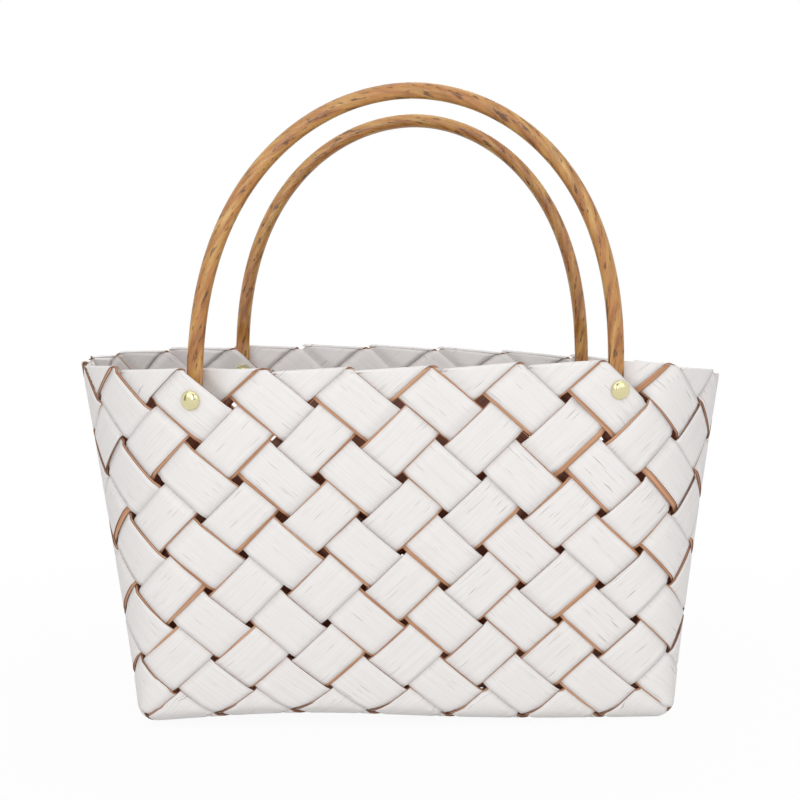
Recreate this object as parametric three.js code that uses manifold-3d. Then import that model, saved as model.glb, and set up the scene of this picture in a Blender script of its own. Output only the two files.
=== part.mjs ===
// Woven bag: twenty-two doubled bark veneer strips plaited on the bias into a tapered box with a
// round-cornered rim, and two bent cane handles whose feet sit between the plies on brass screws.
// Millimetres, +Z up, +X along the wide side, origin under the middle of the base.
import * as THREE from 'three';
import { mergeVertices } from 'three/addons/utils/BufferGeometryUtils.js';
import Module from 'manifold-3d';

const wasm = await Module();
wasm.setup();

// Bag body. "Around" counts strip spacings round the wall from the middle of the front, and "row"
// counts crossings up the wall from the base edge.
const SPACINGS_AROUND = 22;
const BASE_SPACINGS_X = 7;
const BASE_SPACINGS_Y = 4;
const BASE_SPACING = 33.95;
const BASE_CORNER_RADIUS = 8;
const BASE_EDGE_RADIUS = 7;
const RIM_HALF_WIDTH = 149;
const RIM_HALF_DEPTH = 83;
const RIM_CORNER_RADIUS = 76;
const RIM_DIP_RIGHT = 8.5;
const RIM_DIP_POWER = 4;
const WIDTH_FLARE_POWER = 1.08;
const LEAST_CORNER_RADIUS = 2;

// Small ways in which the bag is uneven: its rim swells up at the front right and sags at the back
// right, and the weave creeps round a little from row to row.
const RIM_SWELLS = [
  { around: 2.7, spread: 1.6, height: 2.6 },
  { around: 8.2, spread: 2.2, height: -5.8 },
];
const RIM_SWELL_POWER = 4;
const WEAVE_CREEP = 0.009;

// Weave rows.
const RIM_ROW = 10;
const RIM_CUT_ROW = 10.05;
const FIRST_ROW_HEIGHT = 15.14;
const ROW_GROWTH = 0.105;
const RIM_ROW_SHARE = 0.8;

// Veneer strips, each a doubled ply.
const STRIP_WIDTH = 20;
const STRIP_THICKNESS = 1.2;
const WEAVE_OFFSET = 0.8;

// Handles.
const HANDLE_DIAMETER = 7;
const HANDLE_TOP = 278.3;
const HANDLE_TOP_SHIFTS = { front: 3.7, back: 2 };
const HANDLE_SQUARENESS_UP = 2.48;
const HANDLE_SQUARENESS_ACROSS = 1.95;
const HANDLE_ARCH_STEPS = 15;
const HANDLE_SIDES = 12;
const FOOT_ROW = 9;
const FOOT_AROUND = 2.5;
const FEET = [
  { name: 'front_left', around: -FOOT_AROUND + 0.04, row: 9.15 },
  { name: 'front_right', around: FOOT_AROUND + 0.14, row: 9.25 },
  { name: 'back_right', around: SPACINGS_AROUND / 2 - FOOT_AROUND - 0.17, row: 9.1 },
  { name: 'back_left', around: SPACINGS_AROUND / 2 + FOOT_AROUND - 0.12, row: 9.15 },
];
const FOOT_INSET = 3.6;
const FOOT_THICKNESS = 2.6;
const FOOT_DROP = 4;
const FOOT_END_ANGLES = [80, 50, 25, 0];
const FOOT_HOLE_DIAMETER = 4.2;
const FOOT_SHAVED_ABOVE_RIM = 6;
const FOOT_SHOULDER = 7;
const HANDLE_LEAN = 15;

// Pocket behind each handle foot: how far the veneer's middle is pushed in at the corners of its
// crossing and at the rim, so that the handle can lean inward.
const POCKET_TOP = -10.6;
const POCKET_BOTTOM = -4.2;
const POCKET_LEFT = -3;
const POCKET_RIGHT = -3.4;
const POCKET_RIM = -12.2;
const POCKET_SPREAD = 1;

// Dome screws, washers and nuts.
const SCREW_DIAMETER = 2.5;
const SCREW_HOLE_DIAMETER = 3.1;
const POCKET_HOLE_DIAMETER = 4;
const DOME_DIAMETER = 8.5;
const DOME_HEIGHT = 2.6;
const DOME_BRIM = 0.6;
const DOME_SEAT = 1.75;
const WASHER_DIAMETER = 7;
const WASHER_THICKNESS = 0.7;
const WASHER_SEAT = -9.7;
const NUT_ACROSS_CORNERS = 5.6;
const NUT_THICKNESS = 1.8;
const SCREW_END_PAST_NUT = 0.5;
const SEAT_GAP = 0.3;
const ROUND_STEPS = 16;
const NUT_BORE_STEPS = 6;
const DOME_STEPS = 4;

const BASE_HALF_WIDTH = BASE_SPACINGS_X / 2 * BASE_SPACING;
const BASE_HALF_DEPTH = BASE_SPACINGS_Y / 2 * BASE_SPACING;
const RIM_HEIGHT = rowHeight(RIM_ROW);
const FLOOR_TO_MIDDLE = WEAVE_OFFSET + STRIP_THICKNESS / 2;
const DERIVATIVE_STEP = 0.01;

const finish = (color, roughness, metalness) => (
  () => new THREE.MeshStandardMaterial({ color, roughness, metalness })
);
const veneerMaterial = finish('#ebe8e6', 0.62, 0);
const caneMaterial = finish('#b47b42', 0.42, 0);
const brassMaterial = finish('#d8c274', 0.25, 1);

// Bag surface: the middle of the weave.

function rowHeight(row) {
  const fullRows = Math.min(row, RIM_ROW - 1);
  const rimRows = Math.max(row - (RIM_ROW - 1), 0);
  const rimRowHeight = (FIRST_ROW_HEIGHT + ROW_GROWTH * (2 * RIM_ROW - 1)) * RIM_ROW_SHARE;
  return (FIRST_ROW_HEIGHT + ROW_GROWTH * fullRows) * fullRows + rimRows * rimRowHeight;
}

// The rounded fold between base and wall. Distance is measured up the wall, or inward, as a
// negative number, over the base.
function baseFold(distance) {
  if (distance >= BASE_EDGE_RADIUS) return { inset: 0, raise: distance };
  if (distance <= -BASE_EDGE_RADIUS) return { inset: -distance, raise: 0 };
  const angle = Math.PI / 4 * (1 + distance / BASE_EDGE_RADIUS);
  return {
    inset: BASE_EDGE_RADIUS * (1 - Math.sin(angle)),
    raise: BASE_EDGE_RADIUS * (1 - Math.cos(angle)),
  };
}

// A point on a rounded rectangle, a share of the way round from the middle of the front.
function loopPoint(halfX, halfY, radius, share) {
  const flatX = halfX - radius;
  const flatY = halfY - radius;
  const bend = radius * Math.PI / 2;
  const wrapped = share - Math.round(share);
  const side = wrapped < 0 ? -1 : 1;
  let run = Math.abs(wrapped) * 4 * (flatX + flatY + bend);
  if (run < flatX) return [side * run, -halfY];
  run -= flatX;
  if (run < bend) {
    const angle = run / radius;
    return [side * (flatX + radius * Math.sin(angle)), -flatY - radius * Math.cos(angle)];
  }
  run -= bend;
  if (run < 2 * flatY) return [side * halfX, run - flatY];
  run -= 2 * flatY;
  if (run < bend) {
    const angle = run / radius;
    return [side * (flatX + radius * Math.cos(angle)), flatY + radius * Math.sin(angle)];
  }
  return [side * (flatX - run + bend), halfY];
}

function wallPoint(around, row) {
  const height = rowHeight(row);
  const { inset, raise } = baseFold(height);
  const share = height / RIM_HEIGHT;
  const widthShare = share ** WIDTH_FLARE_POWER;
  const halfX = BASE_HALF_WIDTH + (RIM_HALF_WIDTH - BASE_HALF_WIDTH) * widthShare - inset;
  const halfY = BASE_HALF_DEPTH + (RIM_HALF_DEPTH - BASE_HALF_DEPTH) * share - inset;
  const fullRadius = BASE_CORNER_RADIUS + (RIM_CORNER_RADIUS - BASE_CORNER_RADIUS) * share - inset;
  const radius = Math.max(fullRadius, LEAST_CORNER_RADIUS);
  const place = around - WEAVE_CREEP * row;
  const [x, y] = loopPoint(halfX, halfY, radius, place / SPACINGS_AROUND);
  const dip = RIM_DIP_RIGHT * share * (Math.max(x, 0) / RIM_HALF_WIDTH) ** RIM_DIP_POWER;
  const swell = rimSwell(place) * share ** RIM_SWELL_POWER;
  return new THREE.Vector3(x, y, FLOOR_TO_MIDDLE + raise - dip + swell);
}

function rimSwell(around) {
  let total = 0;
  for (const swell of RIM_SWELLS) {
    const away = around - swell.around;
    const nearest = away - SPACINGS_AROUND * Math.round(away / SPACINGS_AROUND);
    total += swell.height * Math.exp(-((nearest / swell.spread) ** 2));
  }
  return total;
}

// Base coordinates count strip spacings from the middle of the base.
function basePoint(across, along) {
  const foldX = baseFold((Math.abs(across) - BASE_SPACINGS_X / 2) * BASE_SPACING);
  const foldY = baseFold((Math.abs(along) - BASE_SPACINGS_Y / 2) * BASE_SPACING);
  return new THREE.Vector3(
    Math.sign(across) * (BASE_HALF_WIDTH - foldX.inset),
    Math.sign(along) * (BASE_HALF_DEPTH - foldY.inset),
    FLOOR_TO_MIDDLE + foldX.raise + foldY.raise,
  );
}

// The base coordinates of a point that lies a few rows inward of the base edge.
function inwardOfEdge(around, rowsInward) {
  const depth = rowsInward / 2;
  const halfX = BASE_SPACINGS_X / 2;
  const halfY = BASE_SPACINGS_Y / 2;
  const wrapped = around - SPACINGS_AROUND * Math.round(around / SPACINGS_AROUND);
  const side = Math.sign(wrapped);
  const reach = Math.abs(wrapped);
  if (reach <= halfX) return [wrapped, depth - halfY];
  if (reach <= halfX + BASE_SPACINGS_Y) return [side * (halfX - depth), reach - halfX - halfY];
  return [side * (SPACINGS_AROUND / 2 - reach), halfY - depth];
}

// A surface point with its outward normal, and how fast it moves with either coordinate.
function surfaceAt(first, second, place) {
  const step = DERIVATIVE_STEP;
  const firstTangent = place(first + step, second).sub(place(first - step, second));
  const below = place(first, Math.max(second - step, place.least));
  const secondTangent = place(first, second + step).sub(below);
  return {
    position: place(first, second),
    normal: firstTangent.clone().cross(secondTangent).normalize(),
    firstRate: firstTangent.length() / (2 * step),
    secondRate: secondTangent.length() / (2 * step),
  };
}
wallPoint.least = 0;
const basePointFromBelow = (along, across) => basePoint(across, along);
basePointFromBelow.least = -Infinity;

function wallSurface(around, row) {
  if (row >= 0) return surfaceAt(around, row, wallPoint);
  const [across, along] = inwardOfEdge(around, -row);
  return surfaceAt(along, across, basePointFromBelow);
}

// Half of a strip's width, as a share of the spacing between strips at that place.
function halfCoverOnWall(around, row) {
  const { firstRate, secondRate } = surfaceAt(around, Math.max(row, 1), wallPoint);
  const pitch = firstRate * secondRate / Math.hypot(firstRate / 2, secondRate);
  return STRIP_WIDTH / 2 / pitch;
}
const HALF_COVER_ON_BASE = STRIP_WIDTH / 2 / (BASE_SPACING / Math.SQRT2);

// Weave: a wall strip leans either way. A rising strip's index is around minus row / 2, and a
// falling strip's index is around plus row / 2. Even rows show the rising strip outside.

const isFootCrossing = (rising, falling) => {
  const around = (rising + falling) / 2;
  const fromMiddle = Math.abs(around - SPACINGS_AROUND / 2 * Math.round(around / (SPACINGS_AROUND / 2)));
  return falling - rising === FOOT_ROW && Math.abs(fromMiddle - FOOT_AROUND) < DERIVATIVE_STEP;
};

function ringPoint(surface, offset, pole) {
  return { position: surface.position, normal: surface.normal, offset, pole };
}

// One corner of a crossing on the wall. The signs say on which side of both strips it lies, and
// the top and bottom corners are the poles.
function wallCorner(slant, rising, falling, risingSign, fallingSign, halfCover) {
  const row = falling - rising;
  const around = (rising + falling) / 2;
  const surface = wallSurface(
    around + (risingSign + fallingSign) / 2 * halfCover,
    row + (fallingSign - risingSign) * halfCover,
  );
  const outside = (row % 2 === 0) === (slant === 'rising');
  let offset = outside ? WEAVE_OFFSET : -WEAVE_OFFSET;
  if (slant === 'rising' && isFootCrossing(rising, rising + FOOT_ROW)) {
    if (row === FOOT_ROW && risingSign < 0) offset = fallingSign < 0 ? POCKET_LEFT : POCKET_TOP;
    if (row === FOOT_ROW && risingSign > 0) offset = fallingSign < 0 ? POCKET_BOTTOM : POCKET_RIGHT;
    if (row === RIM_ROW) offset = risingSign < 0 ? POCKET_RIM : WEAVE_OFFSET + POCKET_SPREAD;
  }
  return ringPoint(surface, offset, risingSign !== fallingSign);
}

// The cut end of a strip at the rim.
function rimRing(slant, index, halfCover) {
  const rising = slant === 'rising';
  const cutPoint = sign => {
    const edge = index + sign * halfCover;
    const around = rising ? edge + RIM_CUT_ROW / 2 : edge - RIM_CUT_ROW / 2;
    let offset = rising ? WEAVE_OFFSET : -WEAVE_OFFSET;
    if (rising && isFootCrossing(index, index + FOOT_ROW)) {
      offset = sign < 0 ? POCKET_RIM : WEAVE_OFFSET + POCKET_SPREAD;
    }
    if (!rising && sign < 0 && isFootCrossing(index - RIM_ROW, index - 1)) {
      offset = POCKET_RIM - 2 * WEAVE_OFFSET - POCKET_SPREAD;
    }
    return ringPoint(wallSurface(around, RIM_CUT_ROW), offset, rising ? sign < 0 : sign > 0);
  };
  return { cell: `rim ${index}`, joinPoles: false, points: [cutPoint(-1), cutPoint(1)] };
}

// The rings of one strip from the rim down to the base edge, two to a crossing.
function wallRings(slant, index) {
  const rings = [];
  for (let row = RIM_ROW; row >= 0; row -= 1) {
    const rising = slant === 'rising' ? index : index - row;
    const falling = slant === 'rising' ? index + row : index;
    const halfCover = halfCoverOnWall((rising + falling) / 2, Math.min(row, RIM_ROW - 1));
    const cell = `${slant} ${row}`;
    const joinPoles = row > 0 && row < RIM_ROW;
    const ring = upward => {
      const cross = sign => (slant === 'rising'
        ? wallCorner(slant, rising, falling, sign, upward, halfCover)
        : wallCorner(slant, rising, falling, -upward, sign, halfCover));
      return { cell, joinPoles, points: [cross(-1), cross(1)] };
    };
    if (row === RIM_ROW) rings.push({ ...rimRing(slant, index, halfCover), cell });
    else rings.push(ring(1));
    rings.push(ring(-1));
  }
  return rings;
}

// The rings of one strip over the base, in the order in which it crosses the other family.
function baseRings(family, index, crossedStrips) {
  const rings = [];
  const travel = family === 'a' ? -1 : 1;
  for (const other of crossedStrips) {
    const outside = ((index + other) % 2 === 0) === (family === 'a');
    const corner = (ownSign, otherSign) => {
      const own = index + ownSign * HALF_COVER_ON_BASE;
      const crossed = other + otherSign * HALF_COVER_ON_BASE;
      const [sum, difference] = family === 'a' ? [own, crossed] : [crossed, own];
      const surface = surfaceAt((sum - difference) / 2, (sum + difference) / 2, basePointFromBelow);
      return ringPoint(surface, outside ? WEAVE_OFFSET : -WEAVE_OFFSET, ownSign !== otherSign);
    };
    for (const otherSign of [-travel, travel]) {
      const points = [corner(-1, otherSign), corner(1, otherSign)];
      rings.push({ cell: `base ${other}`, joinPoles: true, points });
    }
  }
  return rings;
}

// A whole strip: rim, wall, base, far wall, rim. Family a keeps across + along on the base, and
// family b keeps across - along. Each strip climbs the wall rising or falling at either end.
function stripRings(family, index) {
  const halfY = BASE_SPACINGS_Y / 2;
  const halfRound = SPACINGS_AROUND / 2;
  const nearEdge = Math.min(index + BASE_SPACINGS_Y, BASE_SPACINGS_X - index);
  const farEdge = Math.max(index - BASE_SPACINGS_Y, -BASE_SPACINGS_X - index);
  const cornerStrip = halfRound / 2 - BASE_SPACINGS_Y;
  const frontSlant = index < cornerStrip ? 'rising' : 'falling';
  const backSlant = index > -cornerStrip ? 'rising' : 'falling';
  const legs = family === 'a'
    ? [[frontSlant, index + halfY], [backSlant, halfRound + halfY - index]]
    : [[backSlant === 'rising' ? 'falling' : 'rising', index - halfY],
      [frontSlant === 'rising' ? 'falling' : 'rising', halfRound - halfY - index]];
  const start = wallRings(...legs[0]);
  const end = wallRings(...legs[1]).reverse().map(ring => ({
    ...ring,
    cell: `far ${ring.cell}`,
    points: [ring.points[1], ring.points[0]],
  }));
  const crossed = [];
  for (let other = farEdge + 1; other < nearEdge; other += 1) crossed.push(other);
  if (family === 'a') crossed.reverse();
  return [...start, ...baseRings(family, index, crossed), ...end];
}

function stripGeometry(rings) {
  const positions = [];
  const half = STRIP_THICKNESS / 2;
  for (const { points: [minus, plus] } of rings) {
    for (const [point, lift] of [[minus, half], [plus, half], [plus, -half], [minus, -half]]) {
      positions.push(...point.position.clone().addScaledVector(point.normal, point.offset + lift));
    }
  }
  const indices = [];
  const addQuad = (a, b, c, d, splitFirst) => {
    if (splitFirst) indices.push(a, b, c, a, c, d);
    else indices.push(a, b, d, b, c, d);
  };
  for (let i = 0; i + 1 < rings.length; i += 1) {
    const sameCell = rings[i].cell === rings[i + 1].cell;
    const polesOnFirst = rings[i].points[0].pole;
    const splitFirst = !sameCell || polesOnFirst === rings[i].joinPoles;
    const [outerMinus, outerPlus, innerPlus, innerMinus] = [0, 1, 2, 3].map(corner => 4 * i + corner);
    addQuad(outerMinus, outerMinus + 4, outerPlus + 4, outerPlus, splitFirst);
    addQuad(innerMinus, innerPlus, innerPlus + 4, innerMinus + 4, splitFirst);
    addQuad(outerPlus, outerPlus + 4, innerPlus + 4, innerPlus, true);
    addQuad(outerMinus, innerMinus, innerMinus + 4, outerMinus + 4, true);
  }
  const last = 4 * (rings.length - 1);
  addQuad(0, 1, 2, 3, true);
  addQuad(last, last + 3, last + 2, last + 1, true);
  return indexedGeometry(positions, indices);
}

function indexedGeometry(positions, indices) {
  const geometry = new THREE.BufferGeometry();
  geometry.setAttribute('position', new THREE.Float32BufferAttribute(positions, 3));
  geometry.setIndex(indices);
  return geometry;
}

// Cutting round holes.

function toSolid(geometry) {
  const bare = geometry.clone();
  bare.deleteAttribute('normal');
  bare.deleteAttribute('uv');
  const merged = mergeVertices(bare, 1e-4);
  return new wasm.Manifold(new wasm.Mesh({
    numProp: 3,
    vertProperties: new Float32Array(merged.attributes.position.array),
    triVerts: new Uint32Array(merged.index.array),
  }));
}

function fromSolid(solid) {
  const mesh = solid.getMesh();
  return indexedGeometry(Array.from(mesh.vertProperties), Array.from(mesh.triVerts));
}

// Handle feet: where each sits, and the direction of the screw through it.

function footPlace({ name, around, row }) {
  const { position, normal } = surfaceAt(around, row, wallPoint);
  const tongue = position.clone().addScaledVector(normal, -FOOT_INSET);
  return { name, position, normal, tongue };
}

function drillBit(foot, diameter, from, to) {
  const bit = new THREE.CylinderGeometry(diameter / 2, diameter / 2, to - from, ROUND_STEPS);
  bit.translate(0, (from + to) / 2, 0);
  bit.applyQuaternion(new THREE.Quaternion().setFromUnitVectors(new THREE.Vector3(0, 1, 0), foot.normal));
  bit.translate(...foot.position);
  return bit;
}

// Handle: one bent cane, round over the arch and shaved to a flat tongue at each foot, parallel to
// the wall there. Its top sits a little to the right of its feet. The screw holes are drilled at
// half of the lean, so that the tongue rocks on its screw.

function legStations(footHeight) {
  const radius = HANDLE_DIAMETER / 2;
  const flat = FOOT_THICKNESS / 2;
  const shavedTop = FLOOR_TO_MIDDLE + RIM_HEIGHT + FOOT_SHAVED_ABOVE_RIM;
  const tip = FOOT_END_ANGLES.map(degrees => {
    const angle = THREE.MathUtils.degToRad(degrees);
    const drop = FOOT_DROP - radius + radius * Math.sin(angle);
    return { z: footHeight - drop, width: radius * Math.cos(angle), thickness: flat };
  });
  const shoulder = [0, 0.5, 1].map(part => ({
    z: shavedTop + FOOT_SHOULDER * part,
    width: radius,
    thickness: flat + (radius - flat) * part,
  }));
  return [...tip, ...shoulder];
}

// One side of the handle, from its foot to just short of the top: a superellipse.
function sideStations(footHeight) {
  const rise = HANDLE_TOP - footHeight;
  const stations = legStations(footHeight).map(station => {
    const share = Math.max((station.z - footHeight) / rise, 0);
    return { ...station, share, angle: Math.asin(share ** (HANDLE_SQUARENESS_UP / 2)) };
  });
  const lowest = stations[stations.length - 1].angle;
  const radius = HANDLE_DIAMETER / 2;
  for (let step = 1; step < HANDLE_ARCH_STEPS; step += 1) {
    const angle = lowest + (Math.PI / 2 - lowest) * step / HANDLE_ARCH_STEPS;
    const share = Math.sin(angle) ** (2 / HANDLE_SQUARENESS_UP);
    stations.push({ z: footHeight + rise * share, share, angle, width: radius, thickness: radius });
  }
  return stations;
}

function handleGeometry(leftFoot, rightFoot, topShift) {
  const left = leftFoot.tongue;
  const right = rightFoot.tongue;
  const skew = (right.y - left.y) / (right.x - left.x);
  const planeY = x => left.y + skew * (x - left.x);
  const middle = (left.x + right.x) / 2;
  const halfSpan = (right.x - left.x) / 2;
  const placed = (side, normal, station) => {
    const reach = halfSpan * Math.cos(station.angle) ** (2 / HANDLE_SQUARENESS_ACROSS);
    const twist = Math.atan(-side * normal.x / normal.y);
    return { ...station, x: middle + topShift * station.share + side * reach, twist };
  };
  const radius = HANDLE_DIAMETER / 2;
  const stations = [
    ...sideStations(left.z).map(station => placed(-1, leftFoot.normal, station)),
    { x: middle + topShift, z: HANDLE_TOP, width: radius, thickness: radius, twist: 0 },
    ...sideStations(right.z).reverse().map(station => placed(1, rightFoot.normal, station)),
  ];
  const positions = [];
  stations.forEach(({ x, z, width, thickness, twist }, index) => {
    const before = stations[Math.max(index - 1, 0)];
    const after = stations[Math.min(index + 1, stations.length - 1)];
    const turn = Math.atan2(after.x - before.x, before.z - after.z);
    for (let side = 0; side < HANDLE_SIDES; side += 1) {
      const angle = 2 * Math.PI * side / HANDLE_SIDES;
      const wide = width * Math.cos(angle);
      const thick = THREE.MathUtils.clamp(width * Math.sin(angle), -thickness, thickness);
      const flatTwist = thickness < radius ? twist : 0;
      const out = wide * Math.cos(flatTwist) - thick * Math.sin(flatTwist);
      const across = wide * Math.sin(flatTwist) + thick * Math.cos(flatTwist);
      positions.push(x + out * Math.cos(turn), planeY(x) + across, z + out * Math.sin(turn));
    }
  });
  const indices = [];
  for (let ring = 0; ring + 1 < stations.length; ring += 1) {
    for (let side = 0; side < HANDLE_SIDES; side += 1) {
      const a = ring * HANDLE_SIDES + side;
      const b = ring * HANDLE_SIDES + (side + 1) % HANDLE_SIDES;
      indices.push(a, a + HANDLE_SIDES, b + HANDLE_SIDES, a, b + HANDLE_SIDES, b);
    }
  }
  const last = (stations.length - 1) * HANDLE_SIDES;
  for (let side = 1; side + 1 < HANDLE_SIDES; side += 1) {
    indices.push(0, side, side + 1);
    indices.push(last, last + side + 1, last + side);
  }
  const halfLean = THREE.MathUtils.degToRad(-Math.sign(left.y) * HANDLE_LEAN / 2);
  let solid = toSolid(indexedGeometry(positions, indices));
  for (const { tongue, normal } of [leftFoot, rightFoot]) {
    const leaned = normal.clone().applyAxisAngle(new THREE.Vector3(1, 0, 0), halfLean);
    const place = { position: tongue, normal: leaned };
    const hole = drillBit(place, FOOT_HOLE_DIAMETER, -HANDLE_DIAMETER, HANDLE_DIAMETER);
    solid = solid.subtract(toSolid(hole));
  }
  return fromSolid(solid);
}

// Fasteners, turned about +Y, which points out through the wall.

function latheGeometry(outline) {
  const points = outline.map(([radius, height]) => new THREE.Vector2(radius, height));
  return new THREE.LatheGeometry(points, ROUND_STEPS);
}

function domeScrewGeometry() {
  const shank = SCREW_DIAMETER / 2;
  const dome = DOME_DIAMETER / 2;
  const end = WASHER_SEAT - WASHER_THICKNESS - SEAT_GAP - NUT_THICKNESS - SCREW_END_PAST_NUT;
  const outline = [[0, end], [shank, end], [shank, DOME_SEAT], [dome, DOME_SEAT]];
  for (let step = 0; step <= DOME_STEPS; step += 1) {
    const angle = Math.PI / 2 * step / DOME_STEPS;
    const rise = (DOME_HEIGHT - DOME_BRIM) * Math.sin(angle);
    outline.push([step === DOME_STEPS ? 0 : dome * Math.cos(angle), DOME_SEAT + DOME_BRIM + rise]);
  }
  return latheGeometry(outline);
}

function washerGeometry() {
  const bore = SCREW_HOLE_DIAMETER / 2;
  const outer = WASHER_DIAMETER / 2;
  const low = WASHER_SEAT - WASHER_THICKNESS;
  return latheGeometry([[bore, low], [outer, low], [outer, WASHER_SEAT], [bore, WASHER_SEAT], [bore, low]]);
}

function nutGeometry() {
  const outline = new THREE.Shape();
  for (let corner = 0; corner < 6; corner += 1) {
    const angle = Math.PI / 3 * corner;
    const place = [NUT_ACROSS_CORNERS / 2 * Math.cos(angle), NUT_ACROSS_CORNERS / 2 * Math.sin(angle)];
    if (corner === 0) outline.moveTo(...place);
    else outline.lineTo(...place);
  }
  const bore = new THREE.Path();
  bore.absarc(0, 0, SCREW_HOLE_DIAMETER / 2, 0, 2 * Math.PI, true);
  outline.holes.push(bore);
  const nut = new THREE.ExtrudeGeometry(outline, {
    depth: NUT_THICKNESS,
    bevelEnabled: false,
    curveSegments: NUT_BORE_STEPS,
  });
  nut.rotateX(Math.PI / 2);
  nut.translate(0, WASHER_SEAT - WASHER_THICKNESS - SEAT_GAP, 0);
  return nut;
}

// Assembly.

const bag = new THREE.Group();

function addPart(name, geometry, material, parent = bag) {
  const mesh = new THREE.Mesh(geometry, material);
  mesh.name = name;
  parent.add(mesh);
  return mesh;
}

const feet = FEET.map(footPlace);

const halfStrips = (BASE_SPACINGS_X + BASE_SPACINGS_Y - 1) / 2;
for (const family of ['a', 'b']) {
  for (let index = -halfStrips; index <= halfStrips; index += 1) {
    const number = String(index + halfStrips + 1).padStart(2, '0');
    let solid = toSolid(stripGeometry(stripRings(family, index)));
    for (const foot of feet) {
      const outer = drillBit(foot, SCREW_HOLE_DIAMETER, -WEAVE_OFFSET, DOME_SEAT);
      const pocket = drillBit(foot, POCKET_HOLE_DIAMETER, WASHER_SEAT, -FOOT_INSET);
      solid = solid.subtract(toSolid(outer)).subtract(toSolid(pocket));
    }
    addPart(`bias_strip_${family}_${number}`, fromSolid(solid), veneerMaterial());
  }
}

const [frontLeft, frontRight, backRight, backLeft] = feet;
const frontHandle = handleGeometry(frontLeft, frontRight, HANDLE_TOP_SHIFTS.front);
const backHandle = handleGeometry(backLeft, backRight, HANDLE_TOP_SHIFTS.back);
addPart('handle_front', frontHandle, caneMaterial());
addPart('handle_back', backHandle, caneMaterial());

for (const foot of feet) {
  const fastener = new THREE.Group();
  fastener.position.copy(foot.position);
  fastener.quaternion.setFromUnitVectors(new THREE.Vector3(0, 1, 0), foot.normal);
  addPart(`dome_screw_${foot.name}`, domeScrewGeometry(), brassMaterial(), fastener);
  addPart(`washer_${foot.name}`, washerGeometry(), brassMaterial(), fastener);
  addPart(`nut_${foot.name}`, nutGeometry(), brassMaterial(), fastener);
  bag.add(fastener);
}

export default bag;
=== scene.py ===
"""The looks of a plaited veneer flower bag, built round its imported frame."""

import math

import bpy
import numpy as np
from mathutils import Matrix, Vector
from mathutils.kdtree import KDTree


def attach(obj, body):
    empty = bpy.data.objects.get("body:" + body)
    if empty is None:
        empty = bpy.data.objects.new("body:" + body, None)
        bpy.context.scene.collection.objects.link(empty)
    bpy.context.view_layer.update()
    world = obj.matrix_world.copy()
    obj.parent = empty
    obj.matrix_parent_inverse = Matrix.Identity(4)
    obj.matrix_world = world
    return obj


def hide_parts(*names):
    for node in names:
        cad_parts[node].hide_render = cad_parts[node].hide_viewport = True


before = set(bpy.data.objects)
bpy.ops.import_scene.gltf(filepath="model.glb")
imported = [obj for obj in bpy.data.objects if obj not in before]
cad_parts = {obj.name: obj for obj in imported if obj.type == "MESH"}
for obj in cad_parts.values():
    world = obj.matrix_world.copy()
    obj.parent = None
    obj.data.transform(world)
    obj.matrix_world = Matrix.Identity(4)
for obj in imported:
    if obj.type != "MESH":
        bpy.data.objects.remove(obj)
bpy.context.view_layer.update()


# The bag's body: twenty-two bark veneer strips, plaited on the bias. Each runs from the rim down a
# wall, under the base and up the far wall, then folds over the rim and comes back down outside, so
# that every line of the weave shows two plies: white paint outward, brown bark behind.

MM = 0.001

# The weave is a lattice of 22 spacings round the bag, 7 by 4 under it and 10 rows up. Its middle
# surface tapers from a base with tight corners up to a rounded rim, which dips to the right.
SPACINGS_AROUND = 22
HALF_SPACINGS_X = 3.5
HALF_SPACINGS_Y = 2.0
BASE_SPACING = 33.95 * MM
BASE_HALF_WIDTH = HALF_SPACINGS_X * BASE_SPACING
BASE_HALF_DEPTH = HALF_SPACINGS_Y * BASE_SPACING
BASE_CORNER_RADIUS = 8 * MM
BASE_EDGE_RADIUS = 7 * MM
RIM_HALF_WIDTH = 149 * MM
RIM_HALF_DEPTH = 83 * MM
RIM_CORNER_RADIUS = 76 * MM
RIM_DIP_RIGHT = 8.5 * MM
RIM_DIP_POWER = 4
WIDTH_FLARE_POWER = 1.08
LEAST_CORNER_RADIUS = 2 * MM
RIM_ROW = 10
FIRST_ROW_HEIGHT = 15.14 * MM
ROW_GROWTH = 0.105 * MM
RIM_ROW_SHARE = 0.9
RIM_EASING = 0.45
FOLD_ROW = 9.886
FLOOR_TO_MIDDLE = 1.4 * MM

# The rim swells up at the front right and sags at the back right (around, spread, height), and the
# weave creeps round a little from row to row.
RIM_SWELLS = ((2.7, 1.6, 2.6 * MM), (8.2, 2.2, -5.8 * MM))
RIM_SWELL_POWER = 4
WEAVE_CREEP = 0.009

# The rows above the base in which the walls take up the square corners of its edge.
SETTLING_ROWS = 2.5

# The front edge of the base stands a little off the table, most at the left of its middle.
BASE_ARCH = 5.2 * MM
BASE_ARCH_MIDDLE = -1.5
BASE_ARCH_SPREAD = 2.0


def row_height(row):
    """The rows' heights grow a little up the wall, and ease into a shorter last row."""
    past = row - (RIM_ROW - 1)
    easing = np.clip(past + RIM_EASING, 0, 2 * RIM_EASING) ** 2 / (4 * RIM_EASING)
    rim_rows = easing + np.maximum(past - RIM_EASING, 0)
    full_rows = row - rim_rows
    rim_row_height = (FIRST_ROW_HEIGHT + ROW_GROWTH * (2 * RIM_ROW - 1)) * RIM_ROW_SHARE
    return (FIRST_ROW_HEIGHT + ROW_GROWTH * full_rows) * full_rows + rim_rows * rim_row_height


RIM_HEIGHT = float(row_height(FOLD_ROW))


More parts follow.
